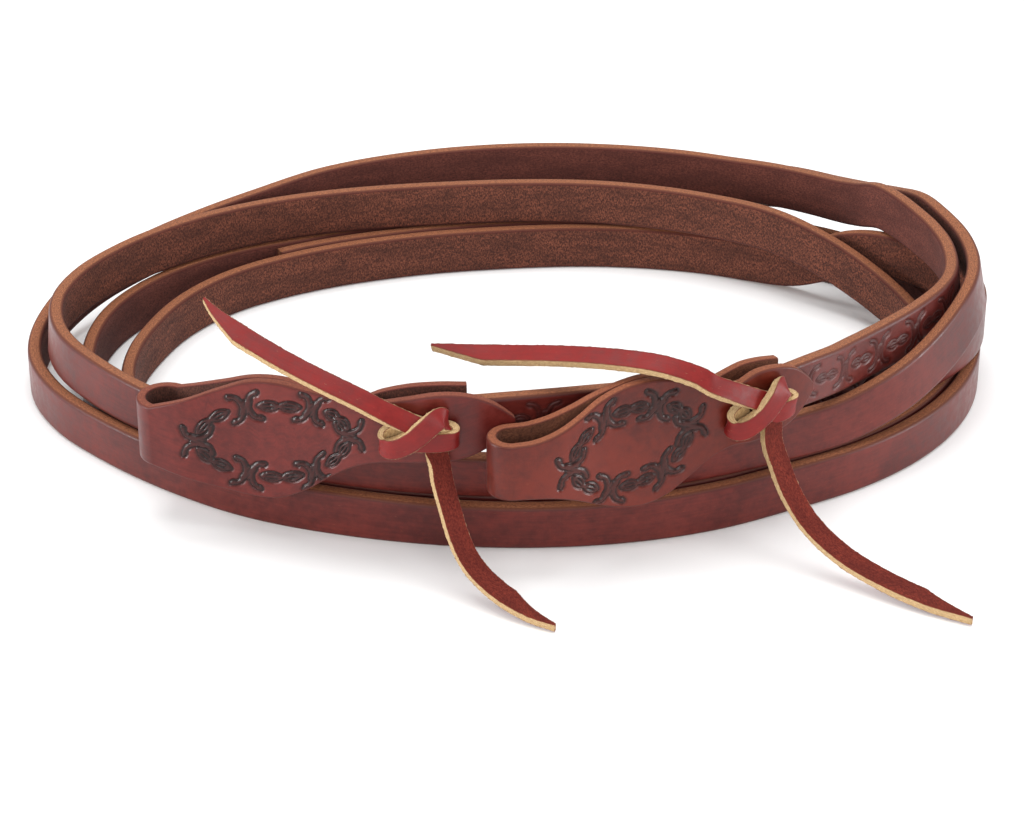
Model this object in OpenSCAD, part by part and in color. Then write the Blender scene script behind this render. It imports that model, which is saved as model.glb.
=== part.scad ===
// A pair of split reins, laid down as one loose oval coil with the straps standing on edge.
// Each rein is a long strap whose bit end is sandwiched in a folded water loop and tied with
// a thong. Units are millimetres, +Z is up, and the coil rests on Z = 0 with its middle at the
// origin.

/* [Coil] */
// Half of the coil's length, left to right
coil_half_length = 161.5; // [158:0.5:168]
// Half of the coil's depth, front to back
coil_half_depth = 117.5; // [115:0.5:122]

/* [Rein straps] */
// Width of each strap, which is its height as it stands on edge
strap_width = 15.9; // [14:0.1:16.1]
// Thickness of each strap
strap_thickness = 4.7; // [3:0.1:4.8]

/* [Water loops] */
// Thickness of the folded water loop leather
loop_thickness = 3.1; // [2.4:0.1:3.2]
// Radius inside the left loop's eye, where the bit ring sits
left_eye_radius = 6; // [4:0.1:6.1]
// Radius inside the right loop's eye
right_eye_radius = 4.5; // [3.5:0.1:4.6]

/* [Thongs] */
// Width of the tie thongs
thong_width = 6.3; // [4:0.1:6.5]
// Thickness of the tie thongs
thong_thickness = 2.8; // [1.5:0.1:2.8]
// Diameter of the thong where it passes through the layers
thong_core = 3.4; // [2.5:0.1:3.8]

/* [Hidden] */

strap_colour = [0.40, 0.21, 0.18];
left_loop_colour = [0.45, 0.20, 0.18];
right_loop_colour = [0.52, 0.25, 0.18];
thong_colour = [0.60, 0.18, 0.16];

coil_centre = [0.7, 19.6];
nominal_width = 15.9;
level_scale = strap_width / nominal_width;
layer_gap = 0.25;
sandwich_offset = strap_thickness / 2 + layer_gap + loop_thickness / 2;
leaf_thickness = loop_thickness - 0.3;
fold_margin = 0.5;
hole_clearance = 0.1;
knot_gap = 0.35;
round_fn = 64;

// A route row is [angle around the coil in degrees, inset of the strap's middle from the coil's
// oval, height of its lower edge, lean of its top outwards in degrees].
right_route = [
    [301.5, 0.2, 36.4, 0], [306, 1.4, 37.6, 0], [311, 3.2, 38, 0], [316, 6, 37.6, 0],
    [321, 9.6, 36, 0], [327, 13.8, 34.2, -2], [334, 15.6, 33.2, -5], [341, 14.6, 33, -8],
    [350, 12, 33.5, -8], [359, 14, 33.5, -6], [365, 16, 33.5, -4], [370, 17.3, 33.4, -2],
    [375, 17.4, 33.2, 0], [380, 15.6, 31.5, 0], [385, 12.4, 27, 0], [390, 9, 23.5, 0],
    [396, 5.5, 21, 0], [403, 2.5, 19, 0], [411, 0.5, 17.2, 0], [420, -0.5, 16.5, 0],
    [432, 0.8, 16.5, 0], [445, 2.5, 16.5, 0], [465, 6.5, 16.5, 0], [485, 12, 16.2, 0],
    [499, 17.5, 15, 0], [509, 16.5, 12.5, 0], [518, 12.5, 9.5, 0], [527, 7.5, 6.5, 0],
    [536, 3, 3, 0], [546, 0.5, 0.6, 0], [555, 2.3, 0.1, 0], [565, 5.6, 0, 0],
    [575, 6.3, 0, 0], [590, 4.8, 0, 0], [605, 4, 0.15, 3], [620, 2.8, 0.25, 6],
    [635, 2, 0.3, 7], [650, 2.5, 0.2, 4], [662, 4, 0, 0], [674, 6, 0, 0],
    [685, 5.4, 0, 0], [697, 4.7, 0, 0], [709, 4.2, 0, 0], [721, 3.8, 0, 0],
    [733, 4.2, 0, 0], [743, 4.4, 0, 0], [751, 4.2, 0, 0], [761, 8.5, 0, 0],
    [773, 13, 0, 0], [787, 17.5, 0, 0], [805, 21, 0, 0], [825, 25, 0, 0],
    [843, 31.5, 0, 0], [856, 33, 0, 0], [868, 30, 0, 0], [880, 26, 0, 0],
    [892, 22.5, 0, 0], [903, 19.5, 0, 0], [914, 15, 0, 0], [924, 12.4, 0, 0],
    [935, 12, 0, 0], [950, 10.5, 0, 0], [965, 9.8, 0, 0], [980, 9.2, 0, 0],
    [995, 8.8, 0, 0], [1010, 8.7, 0, 0], [1022, 9.9, 0, 0], [1034, 11.8, 0, 0],
    [1045, 11, 0, 0], [1057, 10.3, 0, 0], [1069, 9.8, 0, 0], [1081, 9.4, 0, 0],
    [1093, 9.8, 0, 0], [1103, 10.2, 0, 0], [1112, 13, 0, 0], [1122, 19, 0, 0],
    [1133, 25, 0, 0], [1147, 29.5, 0, 0], [1165, 32.8, 0, 0], [1185, 35.8, 0, 0],
    [1205, 38.6, 0, 0], [1224, 39.4, 0, 0]];
left_route = [
    [251.8, -2.3, 36.4, 0], [255, -2.3, 37.5, 0], [260, -1.8, 38.6, 0], [265, -0.4, 39, 0],
    [270, 1.9, 38.8, 0], [276, 4.6, 38.2, 0], [283, 8, 37, 0], [290, 11.6, 35.2, 0],
    [297, 15.2, 33, 0], [305, 19.6, 29.5, 0], [314, 22.2, 25, 0], [323, 22.6, 20.6, 0],
    [332, 20.3, 16.8, 0], [342, 12.8, 16.5, 0], [352, 5, 16.5, 0], [360, 2.6, 16.5, 0],
    [366, 4.7, 16.5, 0], [371, 10.5, 16.5, 0], [376, 17.2, 16.5, 0], [381, 22, 13.5, 0],
    [386, 25.8, 7, 0], [391, 28, 2, 0], [397, 29.5, 0.4, 0], [405, 31, 0.05, 0],
    [416, 33.4, 0, 0], [430, 36, 0, 0], [450, 39.4, 0, 0], [470, 42, 0, 0],
    [488, 44.3, 0, 0], [504, 45.1, 0, 0], [517, 44, 0, 0], [527, 42.8, 0, 0],
    [537, 40, 0, 0], [546, 34, 0, 0], [555, 26.5, 0, 0], [564, 20.5, 0, 0],
    [575, 17.7, 0, 0], [590, 16, 0, 0], [605, 15.2, 0, 0], [620, 14.5, 0, 0],
    [635, 14.1, 0, 0], [650, 14.2, 0, 0], [662, 15.4, 0, 0], [674, 17.3, 0, 0],
    [685, 16.6, 0, 0], [696, 15.9, 0, 0], [708, 15.7, 0.05, 0], [719, 17.5, 0.4, 0],
    [727, 21, 2, 0], [735, 26.2, 7, 0], [743, 31.5, 13, 0], [752, 34, 16.5, 0],
    [763, 33.8, 16.5, 0], [775, 33.5, 16.5, 0], [790, 33.5, 16.5, 0], [808, 34.5, 16.5, 0],
    [826, 35.5, 16.5, 0], [841, 35, 16.5, 0], [854, 33, 16.5, 0], [867, 29.5, 16.5, 0],
    [879, 24.5, 16.5, 0], [888, 19.3, 16.5, 0], [895, 14, 16.5, -2], [903, 9, 16.5, -5],
    [912, 7.4, 16.5, -5], [922, 9, 16.5, -5], [935, 9.2, 16.5, 0], [950, 7.7, 16.5, 4],
    [965, 6.1, 16.7, 8], [980, 4.8, 16.9, 12], [995, 4.4, 16.9, 13], [1010, 5.6, 16.8, 9],
    [1022, 7.8, 16.6, 4], [1034, 9.4, 16.5, 0], [1043, 8, 17.5, -3], [1052, 5.8, 22, -7],
    [1061, 4.8, 28, -10], [1069, 4, 33.5, -11], [1081, 6.6, 33.6, -11], [1089, 8.6, 33.4, -8],
    [1095, 8, 32, -4], [1101, 6.2, 27.5, 0], [1107, 3.3, 23, 0], [1114, -0.5, 19, 0],
    [1123, -4.2, 16, 0], [1133, -5.5, 12, 0], [1143, -5.7, 8, 0], [1153, -4.6, 3.5, 0],
    [1161, -3.6, 0.5, 0], [1170, -1, 0, 0], [1182, 4, 0, 0], [1194, 8.5, 0, 0]];

// A water loop row is [angle, inset of the middle between its two layers, height of the middle,
// half height of the front layer, half height of the back layer, offset of each layer].
left_loop_rows = [
    [221, -3.7, 31, 10.3, 10.3, left_eye_radius + loop_thickness / 2], [225, -3.4, 31.9, 13.6, 13.6, 6.1],
    [229, -2.8, 33, 17.2, 17.2, 3.2], [233, -2, 34.2, 20, 19.8, 1.9],
    [237, -1.9, 35.3, 20.3, 20, 1.65], [241, -2, 37.2, 17.6, 17, 1.65],
    [244.5, -2.1, 39.8, 14.2, 13.4, 2], [248, -2.3, 42.4, 11.4, 9, 3.2],
    [251.5, -2.3, 44.3, 10.3, 10, 4.15], [255.5, -2.3, 45.7, 10.9, 11, 4.15],
    [260, -1.8, 46.9, 11.6, 10.8, 4.15], [264, -0.7, 47.4, 10.4, 10, 4.15],
    [267.3, 0.6, 47.8, 7, 0, 4.15], [269.3, 1.5, 48, 3.4, 0, 4.15],
    [270.5, 2.1, 48.1, 0.8, 0, 4.15]];
right_loop_rows = [
    [270.4, -12.9, 39.5, 9.3, 9.3, right_eye_radius + loop_thickness / 2], [273, -12.3, 39.7, 9.7, 9.7, 5.8],
    [276, -11, 39.9, 11.4, 11.4, 4.9], [279, -9.3, 40, 14.4, 14.4, 3.5],
    [282, -7.6, 40.1, 18, 18, 2.1], [285.5, -5.9, 40.2, 20.7, 20.5, 1.65],
    [289, -4.5, 40.4, 21.5, 21.3, 1.65], [292.5, -3.1, 41, 19.8, 19.3, 1.65],
    [296, -1.6, 42.2, 15.6, 15, 2.3], [299, -0.7, 43.4, 11.2, 9.9, 3.6],
    [301.5, 0.2, 44.4, 10.2, 10.4, 4.15], [305, 1.2, 45.9, 12, 11, 4.15],
    [308, 2.1, 46.4, 11.6, 10.4, 4.15], [311, 3.2, 46.6, 9.4, 9, 4.15],
    [313, 4.1, 46.7, 5.4, 0, 4.15], [314.5, 5, 46.7, 0.9, 0, 4.15]];
back_layer_rows = 12;
right_back_layer_rows = 14;
lower_tail_turn = 28;
left_knot = [258, 46.4];
right_knot = [305.6, 46.4];

// A tail row is [x and y from the coil's centre, z, elevation of the face's direction in degrees].
left_upper_route = [
    [-36.7, -126.4, 54, 52], [-44, -125, 57.6, 56], [-56, -121, 62, 59], [-68, -116, 66.3, 61],
    [-80, -110, 71, 62], [-89, -104.5, 74.5, 62], [-94, -100, 76.5, 62]];
right_upper_route = [
    [63.2, -119.4, 58.6, 52], [56, -120, 63, 58], [44, -119, 66.4, 62], [29, -115, 66.4, 65],
    [13, -109.5, 64.4, 67], [-5, -103.5, 61.4, 68], [-24, -99, 59.4, 68]];
left_lower_route = [
    [-21, -128, 38.5, 14], [-20, -130.5, 33, 14], [-18, -134, 26.5, 18], [-15, -139, 18, 24],
    [-10.5, -144, 11, 34], [-3, -150, 6, 48], [6, -156, 3.2, 62], [15, -160.5, 2.2, 72]];
right_lower_route = [
    [80, -114, 38, 14], [82, -117, 32, 14], [86, -121.5, 23, 20], [92.5, -127, 14.5, 30],
    [102, -134.5, 8.5, 44], [113.5, -142.5, 5, 56], [126, -150.5, 3, 68],
    [139, -157, 2.2, 76]];

function oval_radius(a) = coil_half_length * coil_half_depth
    / norm([coil_half_depth * cos(a), coil_half_length * sin(a)]);
function plan_point(a, inset) =
    coil_centre + (oval_radius(a) - inset) * [cos(a), sin(a)];
function unit(v) = v / norm(v);

// Smooth curve through rows whose first entry is the angle: the rate of change at each row is
// taken from its two neighbours.
function row_slope(rows, i) =
    let (last = len(rows) - 1, a = rows[max(i - 1, 0)], b = rows[min(i + 1, last)])
    (b - a) / (b[0] - a[0]);
function row_between(rows, i, s) =
    let (p = rows[i], q = rows[i + 1], h = q[0] - p[0])
    (2 * pow(s, 3) - 3 * s * s + 1) * p + (pow(s, 3) - 2 * s * s + s) * h * row_slope(rows, i)
    + (3 * s * s - 2 * pow(s, 3)) * q + (pow(s, 3) - s * s) * h * row_slope(rows, i + 1);
function smooth_rows(rows, steps) = concat(
    [for (i = [0:len(rows) - 2], k = [0:steps - 1]) row_between(rows, i, k / steps)],
    [rows[len(rows) - 1]]);
function plan_directions(points) =
    [for (i = [0:len(points) - 1])
        unit(points[min(i + 1, len(points) - 1)] - points[max(i - 1, 0)])];
function outward(direction) = unit(cross(direction, [0, 0, 1]));

// Closed solid from rings of four points each.
module ring_solid(rings) {
    sides = 4;
    count = len(rings);
    points = [for (ring = rings, p = ring) p];
    walls = [for (i = [0:count - 2], k = [0:sides - 1])
        [i * sides + k, i * sides + (k + 1) % sides,
         (i + 1) * sides + (k + 1) % sides, (i + 1) * sides + k]];
    triangles = [for (w = walls, t = [[w[0], w[1], w[2]], [w[0], w[2], w[3]]]) t];
    start = [[3, 2, 1], [3, 1, 0]];
    base = (count - 1) * sides;
    finish = [[base, base + 1, base + 2], [base, base + 2, base + 3]];
    polyhedron(points = points, faces = concat(triangles, start, finish));
}

function section(centre, across, up, half_across, half_up) = [
    centre + across * half_across + up * half_up, centre - across * half_across + up * half_up,
    centre - across * half_across - up * half_up, centre + across * half_across - up * half_up];

module strap(route) {
    rows = smooth_rows(route, 3);
    centres = [for (r = rows)
        [each plan_point(r[0], r[1]), r[2] * level_scale + strap_width / 2]];
    directions = plan_directions(centres);
    ring_solid([for (i = [0:len(rows) - 1])
        let (d = directions[i], o = outward(d), u = cross(o, d), lean = rows[i][3])
        section(centres[i], cos(lean) * o - sin(lean) * u, cos(lean) * u + sin(lean) * o,
                strap_thickness / 2, strap_width / 2)]);
}

// One layer of a water loop: side is -1 for the front layer and 1 for the back layer, and
// height_column picks its half height from the rows.
module loop_layer(rows, side, height_column) {
    smooth = smooth_rows(rows, 3);
    middles = [for (r = smooth) [each plan_point(r[0], r[1]), r[2]]];
    directions = plan_directions([for (m = middles) [m[0], m[1], 0]]);
    ring_solid([for (i = [0:len(smooth) - 1])
        let (o = outward(directions[i]), offset = smooth[i][5] * side)
        section(middles[i] - o * offset, o, [0, 0, 1],
                leaf_thickness / 2, max(smooth[i][height_column], 0.5))]);
}

function eye_direction(rows) = unit(plan_point(rows[1][0], rows[1][1])
    - plan_point(rows[0][0], rows[0][1]));
function heading(direction) = atan2(direction[1], direction[0]);

// The fold around the bit ring: a true half ring, open towards the paddle. It is a little thicker
// and wider than the layers that start inside it, as skived leather is at a fold.
module eye_fold(rows, inner_radius) {
    first = rows[0];
    outer_radius = inner_radius + loop_thickness;
    opening = 0.6;
    height = 2 * (first[3] + fold_margin);
    translate([each plan_point(first[0], first[1]), first[2]])
    rotate([0, 0, heading(eye_direction(rows))])
    difference() {
        cylinder(r = outer_radius, h = height, center = true, $fn = round_fn);
        cylinder(r = inner_radius, h = height + 2, center = true, $fn = round_fn);
        translate([opening, -2 * outer_radius, -2 * outer_radius])
        cube(4 * outer_radius);
    }
}

// Places its children at a knot: x runs along the strap, y points outwards, z is up.
module at_knot(rows, knot) {
    middle = [for (r = smooth_rows(rows, 12)) if (r[0] <= knot[0]) r];
    here = middle[len(middle) - 1];
    before = middle[len(middle) - 3];
    p = plan_point(here[0], here[1]);
    q = plan_point(before[0], before[1]);
    translate([p[0], p[1], knot[1]])
    rotate([0, 0, heading(p - q)])
    mirror([0, 1, 0])
    children();
}

module thong_hole(rows, knot) {
    at_knot(rows, knot)
    rotate([90, 0, 0])
    cylinder(d = thong_core + 2 * hole_clearance, h = 60, center = true, $fn = round_fn);
}

module water_loop(rows, back_rows, inner_radius, knot) {
    difference() {
        union() {
            eye_fold(rows, inner_radius);
            loop_layer(rows, -1, 3);
            loop_layer([for (i = [0:back_rows - 1]) rows[i]], 1, 4);
        }
        thong_hole(rows, knot);
    }
}

// Flat strip with round ends, lying in the plane of the leaf.
module band(length, turn, height) {
    translate([0, height, 0])
    rotate([0, turn, 0])
    rotate([-90, 0, 0])
    linear_extrude(thong_thickness) {
        square([length - thong_width, thong_width], center = true);
        for (end = [-1, 1])
            translate([end * (length - thong_width) / 2, 0])
            circle(d = thong_width, $fn = 32);
    }
}

// The thong's core through the layers, a button behind them, and two crossing wraps in front.
module knot(rows, place) {
    face = sandwich_offset + loop_thickness / 2 + knot_gap;
    at_knot(rows, place) {
        rotate([90, 0, 0])
        cylinder(d = thong_core, h = 2 * face + 1, center = true, $fn = round_fn);
        band(17, -12, face);
        band(15, 52, face + thong_thickness - 0.2);
        band(9, 0, -face - thong_thickness);
    }
}

// facing_turn turns the face towards +X, about the vertical.
module tail(route, facing_turn) {
    rows = [for (i = [0:len(route) - 1])
        [i, route[i][0], route[i][1], route[i][2], route[i][3]]];
    smooth = smooth_rows(rows, 2);
    centres = [for (r = smooth) [coil_centre[0] + r[1], coil_centre[1] + r[2], r[3]]];
    directions = plan_directions(centres);
    tip_width = 0.35;
    last = len(smooth) - 1;
    ring_solid([for (i = [0:last])
        let (d = directions[i], e = smooth[i][4], t = facing_turn,
             facing = [sin(t) * cos(e), -cos(t) * cos(e), sin(e)],
             across = unit(cross(d, facing)), up = cross(across, d),
             taper = i == last ? tip_width : 1)
        section(centres[i], up, -across, thong_thickness / 2, taper * thong_width / 2)]);
}

module left_rein_strap() {
    color(strap_colour)
    difference() {
        strap(left_route);
        thong_hole(left_loop_rows, left_knot);
    }
}
module right_rein_strap() {
    color(strap_colour)
    difference() {
        strap(right_route);
        thong_hole(right_loop_rows, right_knot);
    }
}
module left_water_loop() {
    color(left_loop_colour)
    water_loop(left_loop_rows, back_layer_rows, left_eye_radius, left_knot);
}
module right_water_loop() {
    color(right_loop_colour)
    water_loop(right_loop_rows, right_back_layer_rows, right_eye_radius, right_knot);
}
module left_thong_knot() { color(thong_colour) knot(left_loop_rows, left_knot); }
module right_thong_knot() { color(thong_colour) knot(right_loop_rows, right_knot); }
module left_thong_upper_tail() { color(thong_colour) tail(left_upper_route, 0); }
module right_thong_upper_tail() { color(thong_colour) tail(right_upper_route, 0); }
module left_thong_lower_tail() { color(thong_colour) tail(left_lower_route, lower_tail_turn); }
module right_thong_lower_tail() { color(thong_colour) tail(right_lower_route, lower_tail_turn); }

left_rein_strap();
right_rein_strap();
left_water_loop();
right_water_loop();
left_thong_knot();
right_thong_knot();
left_thong_upper_tail();
right_thong_upper_tail();
left_thong_lower_tail();
right_thong_lower_tail();
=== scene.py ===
import math

import bpy
import numpy as np
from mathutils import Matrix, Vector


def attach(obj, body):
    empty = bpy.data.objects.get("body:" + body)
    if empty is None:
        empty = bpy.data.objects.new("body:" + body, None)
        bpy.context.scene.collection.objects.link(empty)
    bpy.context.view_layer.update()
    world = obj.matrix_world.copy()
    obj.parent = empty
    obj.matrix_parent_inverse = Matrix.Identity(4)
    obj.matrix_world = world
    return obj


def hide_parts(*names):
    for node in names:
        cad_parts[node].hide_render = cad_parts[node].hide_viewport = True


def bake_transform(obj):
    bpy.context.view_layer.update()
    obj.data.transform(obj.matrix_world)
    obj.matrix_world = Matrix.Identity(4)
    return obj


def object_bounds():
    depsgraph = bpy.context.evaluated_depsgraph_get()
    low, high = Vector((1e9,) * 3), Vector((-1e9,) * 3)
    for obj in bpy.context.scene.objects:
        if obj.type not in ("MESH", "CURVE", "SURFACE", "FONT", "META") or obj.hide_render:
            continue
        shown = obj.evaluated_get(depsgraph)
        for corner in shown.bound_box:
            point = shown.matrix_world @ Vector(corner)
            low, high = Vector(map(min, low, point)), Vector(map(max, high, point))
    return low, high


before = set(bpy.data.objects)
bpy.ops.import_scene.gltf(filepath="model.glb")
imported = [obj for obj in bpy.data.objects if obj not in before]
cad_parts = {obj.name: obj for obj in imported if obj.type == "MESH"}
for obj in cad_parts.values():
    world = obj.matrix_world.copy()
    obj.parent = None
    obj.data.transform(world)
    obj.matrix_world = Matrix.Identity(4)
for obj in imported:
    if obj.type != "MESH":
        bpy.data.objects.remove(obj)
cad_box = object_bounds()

# A pair of leather split reins in a loose oval coil. Lengths in this script are millimetres, like
# the part's own, until a mesh is made in metres. The rows below repeat the part's own routes.
MM = 0.001
COIL_HALF_LENGTH = 161.5
COIL_HALF_DEPTH = 117.5
COIL_CENTRE = np.array([0.7, 19.6])
STRAP_WIDTH = 15.9
STRAP_THICKNESS = 4.7
LOOP_THICKNESS = 3.1
THONG_WIDTH = 6.3
THONG_THICKNESS = 2.8
LEFT_EYE_RADIUS = 6.0
RIGHT_EYE_RADIUS = 4.5
TOOLED_END = 170
FIRST_BARB = 10
WIRE_PITCH = 19.5
TIP_LENGTH = 17
TIP_SHARE = 0.14
BARB_ANGLES = (0, 60, 112, 180, 248, 300)
UP = np.array([0.0, 0.0, 1.0])

# Strap rows: angle around the coil, inset of the strap's middle, height of its lower edge, lean.
RIGHT_ROUTE = [
    (301.5, 0.2, 36.4, 0), (306, 1.4, 37.6, 0), (311, 3.2, 38, 0), (316, 6, 37.6, 0),
    (321, 9.6, 36, 0), (327, 13.8, 34.2, -2), (334, 15.6, 33.2, -5), (341, 14.6, 33, -8),
    (350, 12, 33.5, -8), (359, 14, 33.5, -6), (365, 16, 33.5, -4), (370, 17.3, 33.4, -2),
    (375, 17.4, 33.2, 0), (380, 15.6, 31.5, 0), (385, 12.4, 27, 0), (390, 9, 23.5, 0),
    (396, 5.5, 21, 0), (403, 2.5, 19, 0), (411, 0.5, 17.2, 0), (420, -0.5, 16.5, 0),
    (432, 0.8, 16.5, 0), (445, 2.5, 16.5, 0), (465, 6.5, 16.5, 0), (485, 12, 16.2, 0),
    (499, 17.5, 15, 0), (509, 16.5, 12.5, 0), (518, 12.5, 9.5, 0), (527, 7.5, 6.5, 0),
    (536, 3, 3, 0), (546, 0.5, 0.6, 0), (555, 2.3, 0.1, 0), (565, 5.6, 0, 0),
    (575, 6.3, 0, 0), (590, 4.8, 0, 0), (605, 4, 0.15, 3), (620, 2.8, 0.25, 6),
    (635, 2, 0.3, 7), (650, 2.5, 0.2, 4), (662, 4, 0, 0), (674, 6, 0, 0),
    (685, 5.4, 0, 0), (697, 4.7, 0, 0), (709, 4.2, 0, 0), (721, 3.8, 0, 0),
    (733, 4.2, 0, 0), (743, 4.4, 0, 0), (751, 4.2, 0, 0), (761, 8.5, 0, 0),
    (773, 13, 0, 0), (787, 17.5, 0, 0), (805, 21, 0, 0), (825, 25, 0, 0),
    (843, 31.5, 0, 0), (856, 33, 0, 0), (868, 30, 0, 0), (880, 26, 0, 0),
    (892, 22.5, 0, 0), (903, 19.5, 0, 0), (914, 15, 0, 0), (924, 12.4, 0, 0),
    (935, 12, 0, 0), (950, 10.5, 0, 0), (965, 9.8, 0, 0), (980, 9.2, 0, 0),
    (995, 8.8, 0, 0), (1010, 8.7, 0, 0), (1022, 9.9, 0, 0), (1034, 11.8, 0, 0),
    (1045, 11, 0, 0), (1057, 10.3, 0, 0), (1069, 9.8, 0, 0), (1081, 9.4, 0, 0),
    (1093, 9.8, 0, 0), (1103, 10.2, 0, 0), (1112, 13, 0, 0), (1122, 19, 0, 0),
    (1133, 25, 0, 0), (1147, 29.5, 0, 0), (1165, 32.8, 0, 0), (1185, 35.8, 0, 0),
    (1205, 38.6, 0, 0), (1224, 39.4, 0, 0)]
LEFT_ROUTE = [
    (251.8, -2.3, 36.4, 0), (255, -2.3, 37.5, 0), (260, -1.8, 38.6, 0), (265, -0.4, 39, 0),
    (270, 1.9, 38.8, 0), (276, 4.6, 38.2, 0), (283, 8, 37, 0), (290, 11.6, 35.2, 0),
    (297, 15.2, 33, 0), (305, 19.6, 29.5, 0), (314, 22.2, 25, 0), (323, 22.6, 20.6, 0),
    (332, 20.3, 16.8, 0), (342, 12.8, 16.5, 0), (352, 5, 16.5, 0), (360, 2.6, 16.5, 0),
    (366, 4.7, 16.5, 0), (371, 10.5, 16.5, 0), (376, 17.2, 16.5, 0), (381, 22, 13.5, 0),
    (386, 25.8, 7, 0), (391, 28, 2, 0), (397, 29.5, 0.4, 0), (405, 31, 0.05, 0),
    (416, 33.4, 0, 0), (430, 36, 0, 0), (450, 39.4, 0, 0), (470, 42, 0, 0),
    (488, 44.3, 0, 0), (504, 45.1, 0, 0), (517, 44, 0, 0), (527, 42.8, 0, 0),
    (537, 40, 0, 0), (546, 34, 0, 0), (555, 26.5, 0, 0), (564, 20.5, 0, 0),
    (575, 17.7, 0, 0), (590, 16, 0, 0), (605, 15.2, 0, 0), (620, 14.5, 0, 0),
    (635, 14.1, 0, 0), (650, 14.2, 0, 0), (662, 15.4, 0, 0), (674, 17.3, 0, 0),
    (685, 16.6, 0, 0), (696, 15.9, 0, 0), (708, 15.7, 0.05, 0), (719, 17.5, 0.4, 0),
    (727, 21, 2, 0), (735, 26.2, 7, 0), (743, 31.5, 13, 0), (752, 34, 16.5, 0),
    (763, 33.8, 16.5, 0), (775, 33.5, 16.5, 0), (790, 33.5, 16.5, 0), (808, 34.5, 16.5, 0),
    (826, 35.5, 16.5, 0), (841, 35, 16.5, 0), (854, 33, 16.5, 0), (867, 29.5, 16.5, 0),
    (879, 24.5, 16.5, 0), (888, 19.3, 16.5, 0), (895, 14, 16.5, -2), (903, 9, 16.5, -5),
    (912, 7.4, 16.5, -5), (922, 9, 16.5, -5), (935, 9.2, 16.5, 0), (950, 7.7, 16.5, 4),
    (965, 6.1, 16.7, 8), (980, 4.8, 16.9, 12), (995, 4.4, 16.9, 13), (1010, 5.6, 16.8, 9),
    (1022, 7.8, 16.6, 4), (1034, 9.4, 16.5, 0), (1043, 8, 17.5, -3), (1052, 5.8, 22, -7),
    (1061, 4.8, 28, -10), (1069, 4, 33.5, -11), (1081, 6.6, 33.6, -11), (1089, 8.6, 33.4, -8),
    (1095, 8, 32, -4), (1101, 6.2, 27.5, 0), (1107, 3.3, 23, 0), (1114, -0.5, 19, 0),
    (1123, -4.2, 16, 0), (1133, -5.5, 12, 0), (1143, -5.7, 8, 0), (1153, -4.6, 3.5, 0),
    (1161, -3.6, 0.5, 0), (1170, -1, 0, 0), (1182, 4, 0, 0), (1194, 8.5, 0, 0)]

# Water loop rows: angle, inset and height of the middle between the two layers, half heights of
# the front and the back layer, offset of each layer from the middle.
LEFT_LOOP = [
    (221, -3.7, 31, 10.3, 10.3, 7.55), (225, -3.4, 31.9, 13.6, 13.6, 6.1),
    (229, -2.8, 33, 17.2, 17.2, 3.2), (233, -2, 34.2, 20, 19.8, 1.9),
    (237, -1.9, 35.3, 20.3, 20, 1.65), (241, -2, 37.2, 17.6, 17, 1.65),
    (244.5, -2.1, 39.8, 14.2, 13.4, 2), (248, -2.3, 42.4, 11.4, 9, 3.2),
    (251.5, -2.3, 44.3, 10.3, 10, 4.15), (255.5, -2.3, 45.7, 10.9, 11, 4.15),
    (260, -1.8, 46.9, 11.6, 10.8, 4.15), (264, -0.7, 47.4, 10.4, 10, 4.15),
    (267.3, 0.6, 47.8, 7, 0, 4.15), (269.3, 1.5, 48, 3.4, 0, 4.15), (270.5, 2.1, 48.1, 0.8, 0, 4.15)]
RIGHT_LOOP = [
    (270.4, -12.9, 39.5, 9.3, 9.3, 6.05), (273, -12.3, 39.7, 9.7, 9.7, 5.8),
    (276, -11, 39.9, 11.4, 11.4, 4.9), (279, -9.3, 40, 14.4, 14.4, 3.5),
    (282, -7.6, 40.1, 18, 18, 2.1), (285.5, -5.9, 40.2, 20.7, 20.5, 1.65),
    (289, -4.5, 40.4, 21.5, 21.3, 1.65), (292.5, -3.1, 41, 19.8, 19.3, 1.65),
    (296, -1.6, 42.2, 15.6, 15, 2.3), (299, -0.7, 43.4, 11.2, 9.9, 3.6),
    (301.5, 0.2, 44.4, 10.2, 10.4, 4.15), (305, 1.2, 45.9, 12, 11, 4.15),
    (308, 2.1, 46.4, 11.6, 10.4, 4.15), (311, 3.2, 46.6, 9.4, 9, 4.15),
    (313, 4.1, 46.7, 5.4, 0, 4.15), (314.5, 5, 46.7, 0.9, 0, 4.15)]
LEFT_BACK_ROWS = 12
RIGHT_BACK_ROWS = 14
LOWER_TAIL_TURN = 28
LEFT_KNOT = (258, 46.4)
RIGHT_KNOT = (305.6, 46.4)

# Tail rows: x and y from the coil's centre, z, elevation of the face's direction in degrees.
LEFT_UPPER = [
    (-36.7, -126.4, 54, 52), (-44, -125, 57.6, 56), (-56, -121, 62, 59), (-68, -116, 66.3, 61),
    (-80, -110, 71, 62), (-89, -104.5, 74.5, 62), (-94, -100, 76.5, 62)]
RIGHT_UPPER = [
    (63.2, -119.4, 58.6, 52), (56, -120, 63, 58), (44, -119, 66.4, 62), (29, -115, 66.4, 65),
    (13, -109.5, 64.4, 67), (-5, -103.5, 61.4, 68), (-24, -99, 59.4, 68)]
LEFT_LOWER = [
    (-21, -128, 38.5, 14), (-20, -130.5, 33, 14), (-18, -134, 26.5, 18), (-15, -139, 18, 24),
    (-10.5, -144, 11, 34), (-3, -150, 6, 48), (6, -156, 3.2, 62), (15, -160.5, 2.2, 72)]
RIGHT_LOWER = [
    (80, -114, 38, 14), (82, -117, 32, 14), (86, -121.5, 23, 20), (92.5, -127, 14.5, 30),
    (102, -134.5, 8.5, 44), (113.5, -142.5, 5, 56), (126, -150.5, 3, 68), (139, -157, 2.2, 76)]


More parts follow.
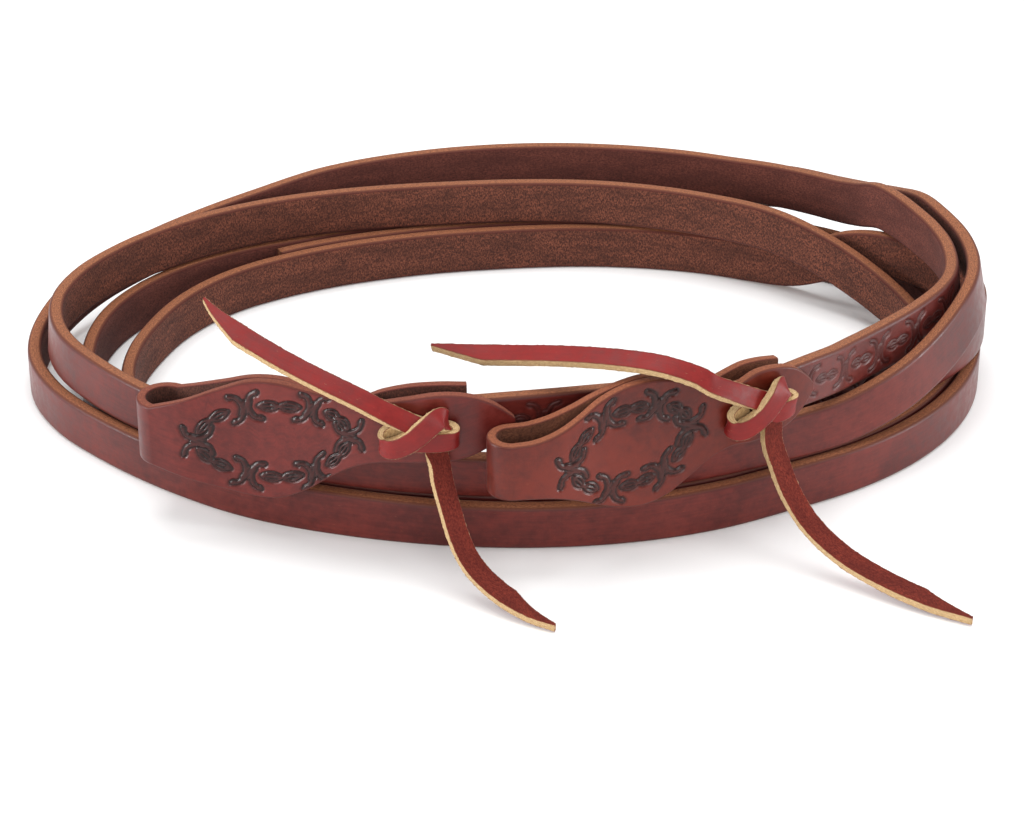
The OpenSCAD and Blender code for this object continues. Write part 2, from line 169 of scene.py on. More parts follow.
def unit(vectors):
    return vectors / np.linalg.norm(vectors, axis=-1, keepdims=True)


def smoothstep(x, low, high):
    t = np.clip((x - low) / (high - low), 0, 1)
    return t * t * (3 - 2 * t)


def smooth_rows(rows, steps):
    """Smooth curve through rows whose first entry is the angle, as in the part."""
    rows = np.array(rows, float)
    last = len(rows) - 1
    slopes = [(rows[min(i + 1, last)] - rows[max(i - 1, 0)])
              / (rows[min(i + 1, last)][0] - rows[max(i - 1, 0)][0]) for i in range(last + 1)]
    result = []
    for i in range(last):
        p, q, h = rows[i], rows[i + 1], rows[i + 1][0] - rows[i][0]
        for k in range(steps):
            s = k / steps
            result.append((2 * s**3 - 3 * s**2 + 1) * p + (s**3 - 2 * s**2 + s) * h * slopes[i]
                          + (3 * s**2 - 2 * s**3) * q + (s**3 - s**2) * h * slopes[i + 1])
    return np.array(result + [rows[last]])


def plan_points(angles, insets):
    a = np.radians(angles)
    radius = COIL_HALF_LENGTH * COIL_HALF_DEPTH / np.hypot(
        COIL_HALF_DEPTH * np.cos(a), COIL_HALF_LENGTH * np.sin(a)) - insets
    return COIL_CENTRE + radius[:, None] * np.stack([np.cos(a), np.sin(a)], 1)


def directions_of(points):
    ends = np.vstack([points[1:], points[-1:]])
    starts = np.vstack([points[:1], points[:-1]])
    return unit(ends - starts)


def lengths_along(points):
    steps = np.linalg.norm(np.diff(points, axis=0), axis=1)
    return np.concatenate([[0], np.cumsum(steps)])


def resample(values, places, targets):
    return np.stack([np.interp(targets, places, column) for column in values.T], 1)


class Strip:
    """A run of leather: centres, outward face direction, width direction, half widths."""

    def __init__(self, centres, faces, widths, half_widths):
        self.centres = centres
        self.faces = faces
        self.widths = widths
        self.half_widths = half_widths
        self.places = lengths_along(centres)


def strap_strip(route, targets_of):
    rows = smooth_rows(route, 24)
    centres = np.column_stack([plan_points(rows[:, 0], rows[:, 1]),
                               rows[:, 2] + STRAP_WIDTH / 2])
    places = lengths_along(centres)
    targets = targets_of(places[-1])
    packed = resample(np.column_stack([centres, rows[:, 3]]), places, targets)
    centres = packed[:, :3]
    lean = np.radians(packed[:, 3:4])
    along = directions_of(centres)
    out = unit(np.cross(along, UP))
    up = np.cross(out, along)
    faces = np.cos(lean) * out - np.sin(lean) * up
    widths = np.cos(lean) * up + np.sin(lean) * out
    return Strip(centres, faces, widths, np.full(len(centres), STRAP_WIDTH / 2))


def strap_places(length):
    """Fine steps along the tooled bit end, wider ones along the rest."""
    fine = np.arange(0, TOOLED_END + 4, 0.4)
    coarse = np.linspace(fine[-1], length, int((length - fine[-1]) / 2.5))
    return np.concatenate([fine, coarse[1:]])


def profile(half_width, half_thickness, corner, back_corner, face_points, back_points):
    """Closed outline of a strip's section: places across, places through, and the zone of each
    point: 0 on the grain face, 1 on the cut edge, 2 on the flesh side."""
    turn = np.radians([0, 22.5, 45, 67.5, 90])
    blend = np.array([0.1, 0.35, 0.55, 0.75, 1.0])
    front = min(corner, 0.45 * half_width, 0.9 * half_thickness)
    back = min(back_corner, 0.45 * half_width, 0.9 * half_thickness)
    face = np.linspace(-1, 1, face_points)[1:-1] * (half_width - front)
    side_w = half_width - front + front * np.sin(turn)
    side_n = half_thickness - front + front * np.cos(turn)
    low_w = half_width - back + back * np.sin(turn[::-1])
    low_n = -(half_thickness - back + back * np.cos(turn[::-1]))
    rear = np.linspace(1, -1, back_points)[1:-1] * (half_width - back)
    across = np.concatenate([face, side_w, [half_width], low_w, rear,
                             -low_w[::-1], [-half_width], -side_w[::-1]])
    middle = [(side_n[-1] + low_n[0]) / 2]
    through = np.concatenate([np.full(len(face), half_thickness), side_n, middle, low_n,
                              np.full(len(rear), -half_thickness), low_n[::-1], middle,
                              side_n[::-1]])
    back_zone = 2 - blend
    zone = np.concatenate([np.zeros(len(face)), blend, [1.0], back_zone[::-1],
                           np.full(len(rear), 2.0), back_zone, [1.0], blend[::-1]])
    return across, through, zone


def strip_mesh(name, strip, half_thickness, corner=0.9, back_corner=0.6, face_points=6,
               back_points=6, relief=None, fuzz=0.0, seed=1):
    """Sweeps the section along the strip. relief(places, across) gives a height and a tooled
    amount for each point of the grain face."""
    random = np.random.default_rng(seed)
    rings = [profile(h, half_thickness, corner, back_corner, face_points, back_points)
             for h in strip.half_widths]
    across = np.array([r[0] for r in rings])
    through = np.array([r[1] for r in rings])
    zone = rings[0][2]
    count, points = across.shape
    tooled = np.zeros((count, points))
    if relief is not None:
        on_face = zone < 0.2
        height, amount = relief(np.repeat(strip.places[:, None], on_face.sum(), 1),
                                across[:, on_face])
        through[:, on_face] += height
        tooled[:, on_face] = amount
    if fuzz > 0:
        at_edge = (zone > 0.5) & (zone < 1.9)
        noise = random.normal(0, fuzz, (count, at_edge.sum()))
        across[:, at_edge] += np.sign(across[:, at_edge]) * np.abs(noise)
        through[:, at_edge] += random.normal(0, fuzz * 0.4, (count, at_edge.sum()))
    places = (strip.centres[:, None] + strip.widths[:, None] * across[..., None]
              + strip.faces[:, None] * through[..., None])
    vertices = places.reshape(-1, 3)
    quads = []
    for i in range(count - 1):
        a = i * points
        for k in range(points):
            n = (k + 1) % points
            quads.append((a + k, a + points + k, a + points + n, a + n))
    start_cap = tuple(range(points))
    end_cap = tuple(reversed(range((count - 1) * points, count * points)))
    mesh = bpy.data.meshes.new(name)
    mesh.from_pydata((vertices * MM).tolist(), [], quads + [start_cap, end_cap])
    zones = np.tile(zone, count)
    perimeter = np.concatenate([np.zeros((count, 1)), np.cumsum(np.hypot(
        np.diff(across, axis=1), np.diff(through, axis=1)), axis=1)], axis=1)
    add_values(mesh, "zone", zones)
    add_values(mesh, "tooled", tooled.reshape(-1))
    add_uv(mesh, np.repeat(strip.places, points), perimeter.reshape(-1))
    mesh.polygons.foreach_set("use_smooth", [True] * (len(quads)) + [False] * 2)
    mesh.validate()
    mesh.update()
    piece = bpy.data.objects.new(name, mesh)
    bpy.context.scene.collection.objects.link(piece)
    return piece


def add_values(mesh, name, values):
    attribute = mesh.attributes.new(name, "FLOAT", "POINT")
    attribute.data.foreach_set("value", np.asarray(values, float))


def add_uv(mesh, u, v):
    layer = mesh.uv_layers.new(name="UVMap")
    loops = np.zeros(len(mesh.loops), int)
    mesh.loops.foreach_get("vertex_index", loops)
    layer.data.foreach_set("uv", np.stack([u[loops], v[loops]], 1).reshape(-1) * 0.01)


# ---------------------------------------------------------------- barbed wire tooling

def arc_stroke(start, control, end, radius_start, radius_end, steps=6):
    """A quadratic curve with a radius that grows along it."""
    t = np.linspace(0, 1, steps + 1)[:, None]
    start, control, end = (np.array(p, float) for p in (start, control, end))
    points = (1 - t)**2 * start + 2 * t * (1 - t) * control + t**2 * end
    radii = radius_start + (radius_end - radius_start) * t[:, 0]
    return points, radii


def barb_strokes(reach, height, thickness):
    """Four curled prongs in an X, with wraps of wire round the middle."""
    strokes = []
    for side in (-1, 1):
        for level in (-1, 1):
            for shift in (0, 1):
                spread = shift * thickness * 1.25
                strokes.append(arc_stroke(
                    (side * (0.25 * reach - spread * 0.6), 0),
                    (side * (0.3 * reach - spread * 0.3), level * (0.95 * height + spread * 0.3)),
                    (side * (reach - 0.5 * shift), level * (height - spread * 0.55)),
                    thickness * 0.8, thickness))
    for k in (-1, 0, 1):
        middle = k * thickness * 1.7
        strokes.append(arc_stroke((middle - 0.18 * reach, -0.42 * height), (middle, 0),
                                  (middle + 0.18 * reach, 0.42 * height),
                                  thickness * 0.85, thickness * 0.85))
    return strokes


def bead_strokes(length, bulge, thickness):
    """A twist of three strands, pinched at both ends."""
    half = length / 2
    return [arc_stroke((-half, 0), (0, level * bulge * 2), (half, 0), thickness * 0.7,
                       thickness * 0.7, 8) for level in (-1, 0, 1)]


def placed(strokes, x, y, turn):
    c, s = math.cos(turn), math.sin(turn)
    matrix = np.array([[c, s], [-s, c]])
    return [(points @ matrix + [x, y], radii) for points, radii in strokes]


def wire_oval(centre, half_length, half_height, tilt, barb_angles):
    """Barbs round an oval with a pair of beads between neighbours."""
    strokes = []

    def at(angle):
        a = math.radians(angle)
        x, y = half_length * math.cos(a), half_height * math.sin(a)
        c, s = math.cos(tilt), math.sin(tilt)
        return np.array([centre[0] + x * c - y * s, centre[1] + x * s + y * c])

    angles = sorted(barb_angles) + [min(barb_angles) + 360]
    for first, second in zip(angles[:-1], angles[1:]):
        tangent = at(first + 1) - at(first - 1)
        x, y = at(first)
        strokes += placed(barb_strokes(4.9, 4.6, 0.66), x, y, math.atan2(tangent[1], tangent[0]))
        for share in (0.35, 0.65):
            angle = first + (second - first) * share
            span = np.linalg.norm(at(second) - at(first))
            tangent = at(angle + 2) - at(angle - 2)
            x, y = at(angle)
            strokes += placed(bead_strokes(span * 0.33, 1.3, 0.6), x, y,
                              math.atan2(tangent[1], tangent[0]))
    return strokes


def wire_line(start, end, pitch):
    """The same wire, laid straight along a strap."""
    strokes = []
    for x in np.arange(start, end, pitch):
        strokes += placed(barb_strokes(4.8, 4.9, 0.42), x, 0, 0)
        for share in (0.37, 0.63):
            strokes += placed(bead_strokes(pitch * 0.27, 1.15, 0.42), x + pitch * share, 0, 0)
    return strokes


def relief_of(strokes, depth, darkness):
    """Height and tooled amount around pressed strokes: rounded ridges in a sunken outline. The
    tooled amount is dark dye in the pattern, with less of it on the ridge crests as a painted
    highlight.
    """
    def relief(places, across):
        points = np.stack([places.reshape(-1), across.reshape(-1)], 1)
        gap = np.full(len(points), 1e3)
        ridge = np.full(len(points), -1.0)
        for line, radii in strokes:
            low, high = line.min(0) - 3, line.max(0) + 3
            near = np.where(np.all((points > low) & (points < high), 1))[0]
            if not len(near):
                continue
            p = points[near]
            for a, b, ra, rb in zip(line[:-1], line[1:], radii[:-1], radii[1:]):
                along = np.clip(((p - a) @ (b - a)) / max((b - a) @ (b - a), 1e-9), 0, 1)
                distance = np.linalg.norm(p - a - along[:, None] * (b - a), axis=1)
                radius = ra + (rb - ra) * along
                gap[near] = np.minimum(gap[near], distance - radius)
                top = np.sqrt(np.clip(1 - (distance / radius)**2, 0, 1))
                inside = np.where(distance < radius, top, -1)
                ridge[near] = np.maximum(ridge[near], inside)
        groove = -depth * (1 - smoothstep(gap, 0.15, 0.95))
        crest = np.clip(ridge, 0, 1)
        height = np.where(gap < 0, depth * (1.2 * crest - 1), groove)
        # Dark dye fills the pattern; it is lessened on the ridge crests as a painted highlight.
        amount = darkness * (1 - smoothstep(gap, 0.1, 0.9)) * (1 - 0.35 * crest**3)
        return height.reshape(places.shape), amount.reshape(places.shape)
    return relief


# ---------------------------------------------------------------- pieces

def make_strap(name, route, seed):
    strip = strap_strip(route, strap_places)
    strokes = wire_line(FIRST_BARB, TOOLED_END, WIRE_PITCH)
    piece = strip_mesh(name, strip, STRAP_THICKNESS / 2, corner=1.3, back_corner=1.2,
                       face_points=44, relief=relief_of(strokes, 0.32, 0.6), seed=seed)
    return piece, strip


def loop_strip(rows, back_rows, side, column, steps=14):
    rows = np.array(rows[:back_rows] if side > 0 else rows, float)
    smooth = smooth_rows(rows, steps)
    middles = np.column_stack([plan_points(smooth[:, 0], smooth[:, 1]), smooth[:, 2]])
    flat = middles * [1, 1, 0]
    out = unit(np.cross(directions_of(flat), UP))
    centres = middles - side * out * smooth[:, 5:6]
    return centres, -side * out, np.maximum(smooth[:, column], 0.5)


def eye_points(rows, radius_inside, steps=24):
    """Points round the fold, from the back layer's side to the front layer's."""
    first = np.array(rows[0], float)
    middle = plan_points(first[:1], first[1:2])[0]
    nearby = plan_points(np.array([rows[1][0]]), np.array([rows[1][1]]))[0]
    heading = math.atan2(*(nearby - middle)[::-1])
    turns = heading + np.linspace(math.pi / 2, 3 * math.pi / 2, steps + 2)[1:-1]
    faces = np.stack([np.cos(turns), np.sin(turns), np.zeros(len(turns))], 1)
    radius = radius_inside + LOOP_THICKNESS / 2
    centres = np.append(middle, first[2]) + faces * radius
    return centres, faces, np.full(len(turns), first[3])


def make_loop(name, rows, back_rows, radius_inside, oval):
    back = loop_strip(rows, back_rows, 1, 4)
    eye = eye_points(rows, radius_inside)
    front = loop_strip(rows, back_rows, -1, 3)
    centres, faces, halves = (np.concatenate([b[::-1], e, f])
                              for b, e, f in zip(back, eye, front))
    rough = lengths_along(centres)
    targets = np.arange(0, rough[-1], 0.42)
    packed = resample(np.column_stack([centres, faces, halves]), rough, targets)
    strip = Strip(packed[:, :3], unit(packed[:, 3:6]), np.tile(UP, (len(packed), 1)),
                  packed[:, 6])
    fold_end = rough[len(back[0]) + len(eye[0])]
    centre, half_length, half_height, tilt, angles = oval
    strokes = wire_oval((fold_end + centre[0], centre[1]), half_length, half_height, tilt, angles)
    return strip_mesh(name, strip, LOOP_THICKNESS / 2, corner=0.8, back_corner=0.5,
                      face_points=96, relief=relief_of(strokes, 0.6, 1.0))


def knot_frame(rows, knot):
    """Origin and x, y, z directions at a knot: x along the strap, y outwards, z up."""
    smooth = smooth_rows(rows, 12)
    here = smooth[smooth[:, 0] <= knot[0]]
    points = plan_points(here[-3:, 0], here[-3:, 1])
    along = unit(np.append(points[-1] - points[0], 0))
    return np.append(points[-1], knot[1]), np.array([along, np.cross(along, UP), UP])


def ribbon(points, faces, half_width, steps):
    """A strip through points with given face directions, with steps places between two points."""
    rows = np.column_stack([np.arange(len(points)), points, faces])
    smooth = smooth_rows(rows, steps)
    centres = smooth[:, 1:4]
    along = directions_of(centres)
    face = smooth[:, 4:7]
    face = unit(face - along * np.sum(face * along, 1, keepdims=True))
    widths = np.cross(along, face)
    halves = np.full(len(centres), half_width)
    return Strip(centres, face, widths, halves)


def thong_mesh(name, strip, seed):
    return strip_mesh(name, strip, THONG_THICKNESS / 2, corner=0.3, back_corner=0.25,
                      face_points=8, back_points=8, fuzz=0.09, seed=seed)


def make_tail(name, route, knot_place, lead_in, facing_turn, flesh_out, seed):
    """A tail along its route, after a lead-in under the knot's wraps. flesh_out shows the flesh
    side on the outside."""
    origin, axes = knot_frame(*knot_place)
    route = np.array(route, float)
    points = np.column_stack([route[:, :2] + COIL_CENTRE, route[:, 2]])
    lift = np.radians(route[:, 3])
    turn = math.radians(facing_turn)
    faces = np.stack([math.sin(turn) * np.cos(lift), -math.cos(turn) * np.cos(lift),
                      np.sin(lift)], 1)
    start = np.array([p for p, face in lead_in]) @ axes + origin
    start_faces = np.array([face for p, face in lead_in]) @ axes
    strip = ribbon(np.vstack([start, points]), np.vstack([start_faces, faces]),
                   THONG_WIDTH / 2, steps=18)
    tip = np.clip((strip.places[-1] - strip.places) / TIP_LENGTH, 0, 1)
    strip.half_widths = THONG_WIDTH / 2 * (TIP_SHARE + (1 - TIP_SHARE) * tip)
    strip.centres = strip.centres + strip.widths * (THONG_WIDTH / 2 - strip.half_widths)[:, None]
    if flesh_out:
        strip.faces = -strip.faces
        strip.widths = -strip.widths
    return thong_mesh(name, strip, seed), strip


# Knot bands, in the knot's own directions: x, y, z and the face direction of each point. The
# wrap and the stub cross in front of the layers, and the button lies behind them.
WRAP = [((7.2, 6.9, 3.4), (0.6, 0.2, 1)), ((6.0, 9.2, 6.6), (0.3, 0.9, 0.7)),
        ((2.6, 11.0, 4.6), (0.1, 1, 0.15)), ((-1.5, 11.6, 0.8), (0, 1, 0)),
        ((-5.8, 11.2, -2.3), (-0.1, 1, 0)), ((-9.2, 10.3, -3.6), (-0.5, 1, 0)),
        ((-11.2, 8.6, -3.0), (-1, 0.1, 0.1)), ((-9.8, 7.1, -1.0), (-0.4, -1, 0.1)),
        ((-5, 6.9, 1.2), (0, -1, 0))]
STUB = [((-3.5, 9.0, -1.8), (0, 1, 0)), ((2, 9.4, -1.4), (0, 1, 0)),
        ((6.5, 9.6, -0.9), (0.2, 1, 0)), ((9.6, 8.9, -0.3), (0.9, 0.6, 0)),
        ((10.0, 7.6, 0.4), (0.9, -0.5, 0)), ((7.4, 6.8, 1), (0.1, -1, 0)),
        ((2, 6.8, 1), (0, -1, 0))]
BUTTON = [((-4.5, -7.1, 0), (-0.5, -1, 0)), ((-2.2, -7.5, 0), (0, -1, 0)),
          ((2.2, -7.5, 0), (0, -1, 0)), ((4.5, -7.1, 0), (0.5, -1, 0))]
UPPER_LEAD = [((4.6, 7.2, 0.6), (0, 1, 0.1)), ((0.6, 8.6, 2.6), (0, 1, 0.3))]
LOWER_LEAD = [((1.5, 7.4, 3.4), (0, 1, 0)), ((3.2, 7.8, -1.6), (0, 1, 0))]


def make_knot(name, rows, knot, seed):
    origin, axes = knot_frame(rows, knot)
    pieces = []
    for label, band in (("wrap", WRAP), ("stub", STUB), ("button", BUTTON)):
        points = np.array([b[0] for b in band]) @ axes + origin
        faces = np.array([b[1] for b in band]) @ axes
        strip = ribbon(points, faces, THONG_WIDTH / 2, steps=14)
        pieces.append(thong_mesh(f"{name}_{label}", strip, seed + len(pieces)))
    return pieces


# ---------------------------------------------------------------- materials

class Nodes:
    """Short names for making and joining shader nodes."""

    def __init__(self, name):
        self.material = bpy.data.materials.new(name)
        self.material.use_nodes = True
        self.tree = self.material.node_tree
        self.shader = self.tree.nodes["Principled BSDF"]

    def add(self, kind, settings=None, **inputs):
        node = self.tree.nodes.new(kind)
        for key, value in (settings or {}).items():
            setattr(node, key, value)
        for key, value in inputs.items():
            self.put(node, key.replace("_", " "), value)
        return node

    def put(self, node, socket, value):
        target = node.inputs[int(socket) if str(socket).isdigit() else socket]
        if isinstance(value, bpy.types.NodeSocket):
            self.tree.links.new(value, target)
        else:
            target.default_value = value

    def attribute(self, name):
        return self.add("ShaderNodeAttribute", {"attribute_name": name}).outputs["Fac"]

    def noise(self, where, scale, detail=3.0, roughness=0.55):
        node = self.add("ShaderNodeTexNoise", Vector=where, Scale=scale, Detail=detail,
                        Roughness=roughness)
        return node.outputs["Fac"]

    def stretched(self, where, scale):
        return self.add("ShaderNodeMapping", Vector=where, Scale=scale).outputs["Vector"]

    def between(self, value, low, high, start=0.0, end=1.0):
        node = self.add("ShaderNodeMapRange", {"interpolation_type": "SMOOTHSTEP"},
                        Value=value)
        for key, number in (("From Min", low), ("From Max", high), ("To Min", start),
                            ("To Max", end)):
            node.inputs[key].default_value = number
        return node.outputs["Result"]

    def maths(self, operation, a, b=0.0):
        node = self.add("ShaderNodeMath", {"operation": operation})
        self.put(node, 0, a)
        self.put(node, 1, b)
        return node.outputs["Value"]

    def mix(self, amount, a, b):
        node = self.add("ShaderNodeMix", {"data_type": "RGBA"})
        self.put(node, "0", amount)
        self.put(node, "6", a)
        self.put(node, "7", b)
        return node.outputs[2]

    def mix_value(self, amount, a, b):
        node = self.add("ShaderNodeMix", {"data_type": "FLOAT"})
        self.put(node, "0", amount)
        self.put(node, "2", a)
        self.put(node, "3", b)
        return node.outputs[0]


def tone(red, green, blue):
    """A colour given in display values of 0 to 255."""
    linear = [(c / 255 / 12.92) if c / 255 <= 0.04045 else ((c / 255 + 0.055) / 1.055)**2.4
              for c in (red, green, blue)]
    return (*linear, 1.0)


def grain_face(n, where, along, grain, scuff, mottle):
    """The smooth side's colour: clouds, spots and streaks, with a few pale scuffs. Also gives the
    spots, which the gloss follows."""
    clouds = n.noise(where, 24, 5, 0.6)
    spots = n.noise(where, 320, 4, 0.65)
    streaks = n.noise(n.stretched(along, (2.2, 26, 1)), 4, 4, 0.6)
    blend = n.maths("ADD", n.maths("MULTIPLY", clouds, mottle),
                    n.maths("ADD", n.maths("MULTIPLY", spots, 0.3),
                            n.maths("MULTIPLY", streaks, 0.7 - mottle)))
    colour = n.mix(n.between(blend, 0.36, 0.64), tone(*grain[0]), tone(*grain[1]))
    scuffs = n.noise(n.stretched(along, (5, 60, 1)), 9, 2, 0.5)
    return n.mix(n.between(scuffs, 0.71, 0.78, 0, 0.3), colour, tone(*scuff)), spots


def cut_edge(n, along, edge):
    """The raw edge's colour, and the fibres that it is made of."""
    fibres = n.noise(n.stretched(along, (7, 30, 1)), 12, 6, 0.75)
    grit = n.noise(n.stretched(along, (60, 110, 1)), 12, 3, 0.7)
    blend = n.maths("ADD", n.maths("MULTIPLY", fibres, 0.5), n.maths("MULTIPLY", grit, 0.5))
    return n.mix(n.between(blend, 0.4, 0.64), tone(*edge[0]), tone(*edge[1])), fibres


def flesh_side(n, where, along, flesh, nap_scale, nap_range):
    """The rough side's colour, and the nap that stands on it."""
    suede = n.noise(n.stretched(along, nap_scale), 12, 8, 0.8)
    blotches = n.noise(n.stretched(along, (1.2, 4, 1)), 5, 4, 0.6)
    flecks = n.noise(where, 1400, 4, 0.7)
    nap = n.maths("ADD", n.maths("MULTIPLY", suede, 0.65), n.maths("MULTIPLY", flecks, 0.35))
    colour = n.mix(n.between(nap, *nap_range), tone(*flesh[0]), tone(*flesh[1]))
    return n.mix(n.between(blotches, 0.3, 0.7, 0.55, 0), colour, tone(*flesh[0])), nap


def burnished(n, zone, fibres):
    """Painted shade on the two rims of a cut edge, where its rounded profile turns away, broken up
    by the fibres.
    """
    front = n.maths("MULTIPLY", n.between(zone, 0.1, 0.4), n.between(zone, 0.95, 0.6))
    back = n.maths("MULTIPLY", n.between(zone, 1.05, 1.4), n.between(zone, 1.9, 1.6))
    return n.maths("MULTIPLY", n.maths("MAXIMUM", front, back),
                   n.between(fibres, 0.25, 0.6, 0.3, 0.85))


def leather(name, grain, edge, flesh, tooled, gloss=0.36, edge_fuzz=0.4, mottle=0.5,
            nap_scale=(7, 22, 1), nap_range=(0.38, 0.62), shine=0.3, tooled_gloss=0.32):
    """Leather with a smooth grain face, raw cut edges and a rough flesh side. grain, edge and
    flesh are pairs of a dark and a light tone; nap_scale is how fine the flesh side's fibres are
    along and across, and nap_range how sharply their two tones part."""
    n = Nodes(name)
    where = n.add("ShaderNodeTexCoord").outputs["Object"]
    along = n.add("ShaderNodeUVMap", {"uv_map": "UVMap"}).outputs["UV"]
    zone = n.attribute("zone")
    pressed = n.attribute("tooled")
    past_grain = n.between(zone, 0.3, 0.6)
    past_edge = n.between(zone, 1.35, 1.7)

    grain_colour, spots = grain_face(n, where, along, grain, edge[1], mottle)
    edge_colour, fibres = cut_edge(n, along, edge)
    flesh_colour, nap = flesh_side(n, where, along, flesh, nap_scale, nap_range)
    colour = n.mix(past_grain, grain_colour, edge_colour)
    colour = n.mix(past_edge, colour, flesh_colour)
    # Painted shade: the rims of the cut edges are darkened towards the grain's dark tone.
    colour = n.mix(burnished(n, zone, fibres), colour, tone(*grain[0]))
    # The tooled tone is dark dye in the pattern, paler on the ridge crests as a painted highlight.
    n.put(n.shader, "Base Color", n.mix(pressed, colour, tone(*tooled)))

    rough = n.mix_value(n.between(spots, 0.3, 0.7), gloss - 0.05, gloss + 0.08)
    rough = n.mix_value(pressed, rough, tooled_gloss)
    rough = n.mix_value(past_grain, rough, 0.72)
    n.put(n.shader, "Roughness", n.mix_value(past_edge, rough, 0.9))
    n.shader.inputs["Specular IOR Level"].default_value = shine
    n.shader.inputs["Sheen Weight"].default_value = 0.02
    n.shader.inputs["Sheen Roughness"].default_value = 0.5

    pores = n.add("ShaderNodeTexVoronoi", {"feature": "DISTANCE_TO_EDGE"},
                  Vector=where, Scale=1500.0).outputs["Distance"]
    fine = n.maths("ADD", n.maths("MULTIPLY", pores, 0.35), n.maths("MULTIPLY", spots, 0.5))
    height = n.mix_value(past_grain, n.maths("MULTIPLY", fine, 0.2),
                         n.maths("MULTIPLY", fibres, edge_fuzz))
    height = n.mix_value(past_edge, height, nap)
    bump = n.add("ShaderNodeBump", Strength=0.55, Distance=0.0006, Height=height)
    n.put(n.shader, "Normal", bump.outputs["Normal"])
    return n.material


def make_materials():
    strap_grain = ((66, 19, 16), (100, 34, 27))
    edge = ((78, 38, 25), (188, 120, 80))
    strap_tooling = (40, 13, 11)
    thong_grain = ((98, 12, 10), (126, 21, 18))
    thong_edge = ((150, 114, 74), (226, 198, 150))
    return {
        "right_strap": leather("strap_leather", strap_grain, edge, ((62, 27, 23), (116, 62, 50)),
                               strap_tooling, tooled_gloss=0.6),
        "left_strap": leather("rough_backed_strap_leather", strap_grain, edge,
                              ((52, 26, 20), (138, 78, 58)), strap_tooling,
                              nap_scale=(24, 8, 1), nap_range=(0.43, 0.6), tooled_gloss=0.6),
        "burgundy": leather("burgundy_loop_leather", ((73, 20, 17), (104, 33, 27)),
                            ((84, 38, 28), (160, 88, 64)), ((46, 24, 20), (110, 64, 50)),
                            (22, 8, 7), gloss=0.34, nap_scale=(20, 8, 1)),
        "chestnut": leather("chestnut_loop_leather", ((70, 18, 10), (102, 31, 17)),
                            ((92, 44, 28), (168, 100, 66)), ((68, 36, 24), (130, 78, 54)),
                            (30, 10, 8), gloss=0.34, mottle=0.62),
        "thong": leather("thong_leather", thong_grain, thong_edge,
                         ((70, 16, 10), (124, 46, 32)), (60, 20, 18), gloss=0.5,
                         edge_fuzz=1.0, shine=0.25),
        "knot": leather("thong_knot_leather", thong_grain, thong_edge,
                        ((150, 112, 72), (212, 180, 128)), (60, 20, 18), gloss=0.44,
                        edge_fuzz=1.0, shine=0.3)}


# ---------------------------------------------------------------- surroundings

def make_camera():
    data = bpy.data.cameras.new("camera")
    data.lens = 106.4
    data.sensor_width = 36
    camera = bpy.data.objects.new("camera", data)
    camera.location = (0.0017, -0.8924, 0.498)
    camera.rotation_euler = (math.radians(60.6), 0, 0)
    bpy.context.scene.collection.objects.link(camera)
    bpy.context.scene.camera = camera


def soft_light(name, place, aim, size, power):
    data = bpy.data.lights.new(name, "AREA")
    data.shape = "RECTANGLE"
    data.size, data.size_y = size
    data.energy = power
    light = bpy.data.objects.new(name, data)
    light.location = place
    direction = np.array(aim) - np.array(place)
    flat = math.hypot(direction[0], direction[1])
    light.rotation_euler = (math.atan2(flat, -direction[2]), 0,
                            math.atan2(direction[1], direction[0]) - math.pi / 2)
    bpy.context.scene.collection.objects.link(light)


def make_lights():
    bpy.context.scene.view_settings.view_transform = "Standard"
    middle = (0, 0, 0.03)
    soft_light("top_light", (0, 0.1, 1.5), middle, (1.5, 1.0), 20)
    soft_light("front_light", (0.1, -1.5, 0.7), middle, (1.4, 0.5), 11)
    soft_light("left_light", (-1.2, -0.35, 0.22), middle, (0.35, 0.4), 10.5)
    soft_light("right_light", (1.2, -0.15, 0.2), middle, (0.3, 0.4), 7.5)
    world = bpy.data.worlds.new("world")
    world.use_nodes = True
    background = world.node_tree.nodes["Background"]
    background.inputs["Color"].default_value = (1, 1, 1, 1)
    background.inputs["Strength"].default_value = 0.55
    bpy.context.scene.world = world


def make_floor():
    half = 3.0
    level = cad_box[0][2]
    mesh = bpy.data.meshes.new("floor")
    corners = [(-half, -half, level), (half, -half, level), (half, half, level),
               (-half, half, level)]
    mesh.from_pydata(corners, [], [(0, 1, 2, 3)])
    floor = bpy.data.objects.new("floor", mesh)
    bpy.context.scene.collection.objects.link(floor)
    material = bpy.data.materials.new("floor")
    material.use_nodes = True
    shader = material.node_tree.nodes["Principled BSDF"]
    shader.inputs["Base Color"].default_value = (0.93, 0.93, 0.93, 1)
    shader.inputs["Roughness"].default_value = 0.9
    shader.inputs["Specular IOR Level"].default_value = 0.1
    mesh.materials.append(material)


def finish_piece(piece, material, slot, *nodes):
    piece.data.materials.append(material)
    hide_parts(*nodes)


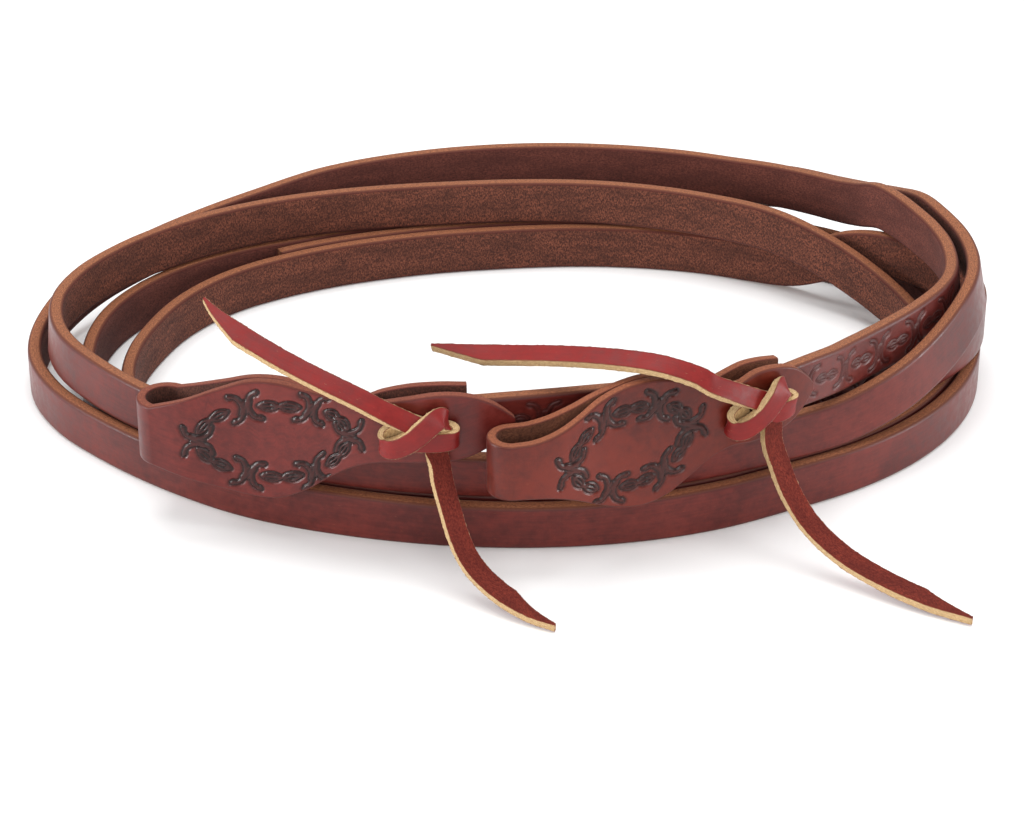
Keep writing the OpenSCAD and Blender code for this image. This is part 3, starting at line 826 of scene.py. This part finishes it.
def add_straps(materials):
    for side, route, seed in (("left", LEFT_ROUTE, 11), ("right", RIGHT_ROUTE, 12)):
        strap, strip = make_strap(f"{side}_strap", route, seed)
        finish_piece(strap, materials[f"{side}_strap"], "strap_leather", f"{side}_rein_strap")
        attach(strap, "reins")


def add_loops(materials):
    """Each oval has its centre past the fold and above the middle, its half length and half
    height, its tilt, and the angles of its barbs."""
    left_oval = ((41, -0.3), 25.3, 12.5, 0.0, BARB_ANGLES)
    right_oval = ((38, 0.0), 19.8, 13.2, 0.1, BARB_ANGLES)
    loops = (("left", LEFT_LOOP, LEFT_BACK_ROWS, LEFT_EYE_RADIUS, "burgundy", left_oval),
             ("right", RIGHT_LOOP, RIGHT_BACK_ROWS, RIGHT_EYE_RADIUS, "chestnut", right_oval))
    for side, rows, back_rows, radius, look, oval in loops:
        loop = make_loop(f"{side}_loop", rows, back_rows, radius, oval)
        finish_piece(loop, materials[look], f"{look}_loop_leather", f"{side}_water_loop")
        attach(loop, "reins")


def add_knots(materials):
    knots = (("left", LEFT_LOOP, LEFT_KNOT, 31), ("right", RIGHT_LOOP, RIGHT_KNOT, 41))
    for side, rows, knot, seed in knots:
        for band in make_knot(f"{side}_knot", rows, knot, seed):
            finish_piece(band, materials["knot"], "thong_leather", f"{side}_thong_knot")
            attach(band, "reins")


def add_tails(materials):
    left_place, right_place = (LEFT_LOOP, LEFT_KNOT), (RIGHT_LOOP, RIGHT_KNOT)
    tails = (("left", "upper", LEFT_UPPER, left_place, 51),
             ("left", "lower", LEFT_LOWER, left_place, 52),
             ("right", "upper", RIGHT_UPPER, right_place, 53),
             ("right", "lower", RIGHT_LOWER, right_place, 54))
    for side, level, route, place, seed in tails:
        lower = level == "lower"
        tail, strip = make_tail(f"{side}_{level}_thong_tail", route, place,
                                LOWER_LEAD if lower else UPPER_LEAD,
                                LOWER_TAIL_TURN if lower else 0, lower, seed)
        finish_piece(tail, materials["thong"], "thong_leather", f"{side}_thong_{level}_tail")
        bend_tail(tail)


def bend_tail(tail):
    """Bakes the tail's placement into its mesh."""
    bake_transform(tail)


make_camera()
materials = make_materials()
add_straps(materials)
add_loops(materials)
add_knots(materials)
add_tails(materials)
make_floor()
make_lights()
